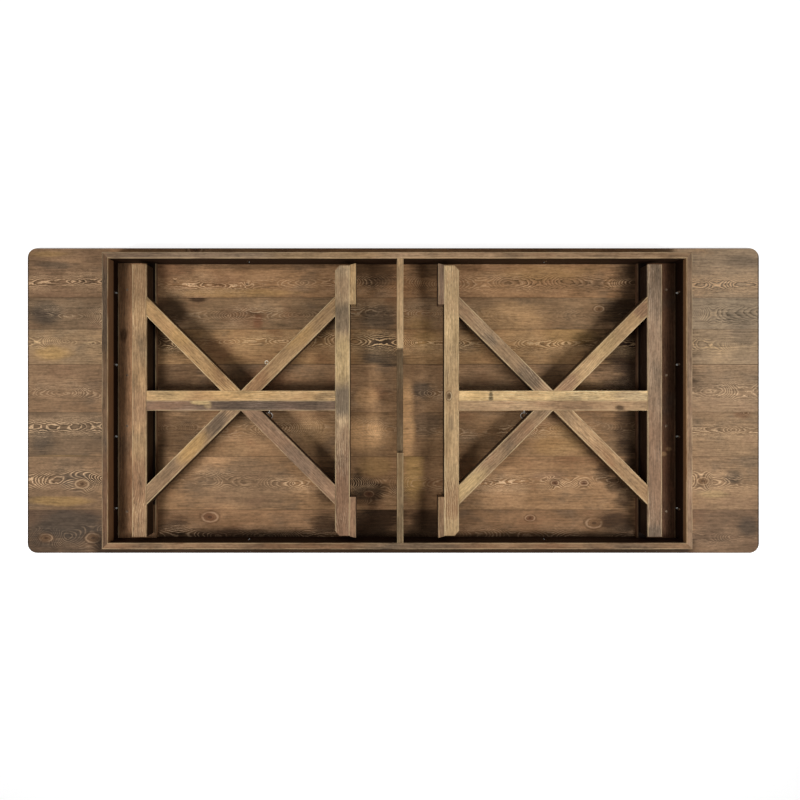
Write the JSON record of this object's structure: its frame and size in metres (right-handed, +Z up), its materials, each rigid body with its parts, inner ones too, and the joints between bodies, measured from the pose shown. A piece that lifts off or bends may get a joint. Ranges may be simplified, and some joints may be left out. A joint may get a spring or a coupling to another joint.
{
  "type": "folding dining table",
  "caption": "Rustic pine farm dining table with two leg frames that fold flat inside its aprons, lying on its top with both frames folded in.",
  "frame": {"origin": "middle of the upper face of the table top, which lies on the ground", "axes": "+X along the table, +Y across it, +Z up from the upper face to the underside and the folded leg frames"},
  "size_m": [2.438, 1.016, 0.121],
  "materials": {
    "top_pine": "brushed and stained pine, worn matt oil",
    "apron_pine": "brushed and stained pine, worn arrises",
    "inner_pine": "sawn and stained pine, matt",
    "leg_pine": "planed and stained pine, worn matt oil",
    "zinc_screw": "zinc plated",
    "hinge_steel": "dull zinc plated",
    "stay_steel": "dull zinc plated",
    "ring_steel": "bright zinc plated wire"
  },
  "bodies": {
    "table": {"apron_pocket_screws": "zinc_screw", "back_apron": "apron_pine", "centre_rail": "inner_pine", "front_apron": "apron_pine", "hinge_board_screws": "zinc_screw", "hinge_pins": "hinge_steel", "top_board_1": "top_pine", "top_board_2": "top_pine", "top_board_3": "top_pine", "top_board_4": "top_pine", "top_board_5": "top_pine", "top_board_6": "top_pine", "top_board_7": "top_pine", "top_hardware_screws": "zinc_screw", "left_end_apron": "apron_pine", "left_hinge_board": "inner_pine", "left_hinge_fixed_leaves": "hinge_steel", "left_table_bracket": "stay_steel", "right_end_apron": "apron_pine", "right_hinge_board": "inner_pine", "right_hinge_fixed_leaves": "hinge_steel", "right_table_bracket": "stay_steel"},
    "left_leg": {"left_back_foot_brace": "leg_pine", "left_back_foot_pad": "leg_pine", "left_back_hinge_brace": "leg_pine", "left_back_stave": "leg_pine", "left_foot_rail": "leg_pine", "left_front_foot_brace": "leg_pine", "left_front_foot_pad": "leg_pine", "left_front_hinge_brace": "leg_pine", "left_front_stave": "leg_pine", "left_hinge_moving_leaves": "hinge_steel", "left_hinge_rail": "leg_pine", "left_leg_bracket": "stay_steel", "left_leg_hardware_screws": "zinc_screw", "left_screw_eye": "zinc_screw"},
    "left_leg_stay_link": {"left_knee_bolt": "ring_steel", "left_leg_link": "stay_steel"},
    "left_ring": {"left_pull_ring": "ring_steel"},
    "left_table_stay_link": {"left_table_link": "stay_steel"},
    "right_leg": {"right_back_foot_brace": "leg_pine", "right_back_foot_pad": "leg_pine", "right_back_hinge_brace": "leg_pine", "right_back_stave": "leg_pine", "right_foot_rail": "leg_pine", "right_front_foot_brace": "leg_pine", "right_front_foot_pad": "leg_pine", "right_front_hinge_brace": "leg_pine", "right_front_stave": "leg_pine", "right_hinge_moving_leaves": "hinge_steel", "right_hinge_rail": "leg_pine", "right_leg_bracket": "stay_steel", "right_leg_hardware_screws": "zinc_screw"},
    "right_leg_stay_link": {"right_knee_bolt": "ring_steel", "right_leg_link": "stay_steel"},
    "right_ring": {"right_pull_ring": "ring_steel"},
    "right_table_stay_link": {"right_table_link": "stay_steel"}
  },
  "joints": [
    {"name": "left_leg_fold", "type": "hinge", "parent": "table", "child": "left_leg", "pos_m": [-0.841, 0, 0.0422], "axis": [0, -1, 0], "range_deg": [0, 90]},
    {"name": "left_table_stay_turn", "type": "hinge", "parent": "table", "child": "left_table_stay_link", "pos_m": [-0.591, -0.0162, 0.0337], "axis": [0, -1, 0], "range_deg": [0, 132.8]},
    {"name": "left_leg_stay_turn", "type": "hinge", "parent": "left_leg", "child": "left_leg_stay_link", "pos_m": [-0.591, -0.0232, 0.0404], "axis": [0, -1, 0], "range_deg": [-135.1, 0]},
    {"name": "left_ring_swing", "type": "hinge", "parent": "left_leg_stay_link", "child": "left_ring", "pos_m": [-0.41185, -0.0397, 0.03705], "axis": [-1, 0, 0], "range_deg": [0, 70]},
    {"name": "right_leg_fold", "type": "hinge", "parent": "table", "child": "right_leg", "pos_m": [0.863, 0, 0.0422], "axis": [0, 1, 0], "range_deg": [0, 90]},
    {"name": "right_table_stay_turn", "type": "hinge", "parent": "table", "child": "right_table_stay_link", "pos_m": [0.613, -0.0162, 0.0337], "axis": [0, 1, 0], "range_deg": [0, 132.8]},
    {"name": "right_leg_stay_turn", "type": "hinge", "parent": "right_leg", "child": "right_leg_stay_link", "pos_m": [0.613, -0.0232, 0.0404], "axis": [0, 1, 0], "range_deg": [-135.1, 0]},
    {"name": "right_ring_swing", "type": "hinge", "parent": "right_leg_stay_link", "child": "right_ring", "pos_m": [0.43385, -0.0397, 0.03705], "axis": [-1, 0, 0], "range_deg": [0, 70]}
  ],
  "couplings": [
    {"joint": "left_table_stay_turn", "follows": "left_leg_fold", "ratio": 1.4752},
    {"joint": "left_leg_stay_turn", "follows": "left_leg_fold", "ratio": -1.501},
    {"joint": "right_table_stay_turn", "follows": "right_leg_fold", "ratio": 1.4752},
    {"joint": "right_leg_stay_turn", "follows": "right_leg_fold", "ratio": -1.501}
  ]
}
